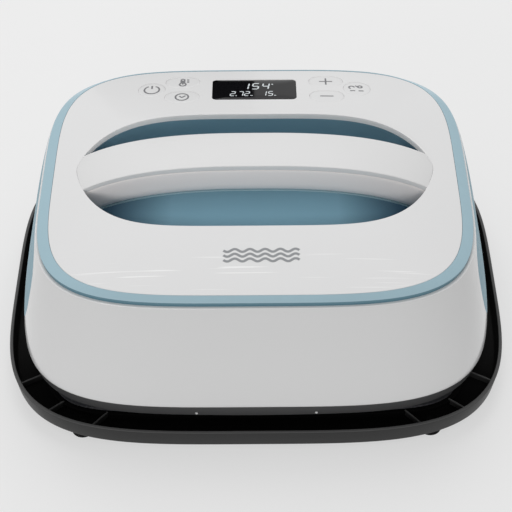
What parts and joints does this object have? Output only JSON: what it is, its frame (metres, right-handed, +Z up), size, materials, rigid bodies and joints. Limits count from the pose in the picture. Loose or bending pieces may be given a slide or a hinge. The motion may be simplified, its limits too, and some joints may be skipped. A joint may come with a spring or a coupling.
{
  "type": "heat press",
  "caption": "Hand-held flat heat press with an arched bridge handle over a finger bowl, a sloping control panel, a rectangular heat plate and an insulated base tray.",
  "frame": {"origin": "on the table, under the middle of the base tray", "axes": "+X to the user's right, +Y to the back where the control panel is, +Z up"},
  "size_m": [0.3783, 0.3185, 0.1562],
  "materials": {
    "tray_plastic": "fine moulded grain",
    "foot_rubber": "matt",
    "mat_silicone": "woven-faced silicone",
    "shield_metal": "rolled",
    "plate_coating": "speckled non-stick coating",
    "element_steel": "drawn tube",
    "steel_parts": "zinc plated",
    "brass_parts": "turned",
    "cell_metal": "machined",
    "blanket": "needled fibre",
    "dark_plastic": "moulded, heat resistant",
    "white_shell": "gloss",
    "white_cover": "gloss",
    "white_handle": "satin gloss",
    "blue_trim": "satin",
    "blue_bowl": "satin",
    "display_glass": "polished black",
    "key_caps": "gloss, printed icons",
    "lcd_frame": "moulded",
    "circuit_board": "solder resist",
    "black_parts": "moulded",
    "relay_case": "moulded",
    "transformer_core": "varnished laminations",
    "sink_metal": "anodised",
    "ribbon_plastic": "flat cable",
    "gland_rubber": "matt"
  },
  "bodies": {
    "tray": {"base_tray": "tray_plastic", "heat_reflector": "shield_metal", "insulating_mat": "mat_silicone", "tray_feet": "foot_rubber"},
    "press": {"heat_plate": "plate_coating", "heating_element": "element_steel", "temperature_sensor": "brass_parts", "thermal_fuse": "steel_parts", "fuse_clamp": "steel_parts", "plate_standoffs": "steel_parts", "pressure_cells": "cell_metal", "plate_screws": "steel_parts", "insulation_blanket": "blanket", "heat_shield": "shield_metal", "shield_screws": "steel_parts", "lower_skirt": "dark_plastic", "skirt_pins": "steel_parts", "lower_shell": "white_shell", "side_inlay_left": "blue_trim", "side_inlay_right": "blue_trim", "shell_screws": "steel_parts", "cord_gland": "gland_rubber", "gland_nut": "dark_plastic", "trim_ring": "blue_trim", "top_cover": "white_cover", "cover_screws": "steel_parts", "display_window": "display_glass", "lcd_module": "lcd_frame", "control_board": "circuit_board", "board_screws": "steel_parts", "push_switches": "black_parts", "sounder": "black_parts", "power_board": "circuit_board", "board_standoffs": "steel_parts", "power_board_screws": "steel_parts", "power_relay": "relay_case", "mains_transformer": "transformer_core", "heat_sink": "sink_metal", "filter_capacitor": "black_parts", "lead_terminals": "relay_case", "ribbon_cable": "ribbon_plastic", "handle_cap": "white_handle", "handle_lower": "white_handle", "handle_liner": "blue_bowl", "handle_screws": "steel_parts", "finger_bowl": "blue_bowl"},
    "power_button": {"power_key": "key_caps"},
    "temperature_button": {"temperature_key": "key_caps"},
    "timer_button": {"timer_key": "key_caps"},
    "plus_button": {"plus_key": "key_caps"},
    "minus_button": {"minus_key": "key_caps"},
    "mode_button": {"mode_key": "key_caps"}
  },
  "joints": [
    {"name": "press_lift", "type": "slide", "parent": "tray", "child": "press", "axis": [0, 0, 1], "range_m": [0, 0.12]},
    {"name": "power_press", "type": "slide", "parent": "press", "child": "power_button", "axis": [0.0376, -0.1389, -0.9896], "range_m": [0, 0.0006], "stiffness_N_per_m": 350, "springref_m": -0.001},
    {"name": "temperature_press", "type": "slide", "parent": "press", "child": "temperature_button", "axis": [0.01, -0.169, -0.9856], "range_m": [0, 0.0006], "stiffness_N_per_m": 350, "springref_m": -0.001},
    {"name": "timer_press", "type": "slide", "parent": "press", "child": "timer_button", "axis": [0.017, -0.1297, -0.9914], "range_m": [0, 0.0006], "stiffness_N_per_m": 350, "springref_m": -0.001},
    {"name": "plus_press", "type": "slide", "parent": "press", "child": "plus_button", "axis": [-0.01, -0.169, -0.9856], "range_m": [0, 0.0006], "stiffness_N_per_m": 350, "springref_m": -0.001},
    {"name": "minus_press", "type": "slide", "parent": "press", "child": "minus_button", "axis": [-0.017, -0.1297, -0.9914], "range_m": [0, 0.0006], "stiffness_N_per_m": 350, "springref_m": -0.001},
    {"name": "mode_press", "type": "slide", "parent": "press", "child": "mode_button", "axis": [-0.0376, -0.1389, -0.9896], "range_m": [0, 0.0006], "stiffness_N_per_m": 350, "springref_m": -0.001}
  ]
}
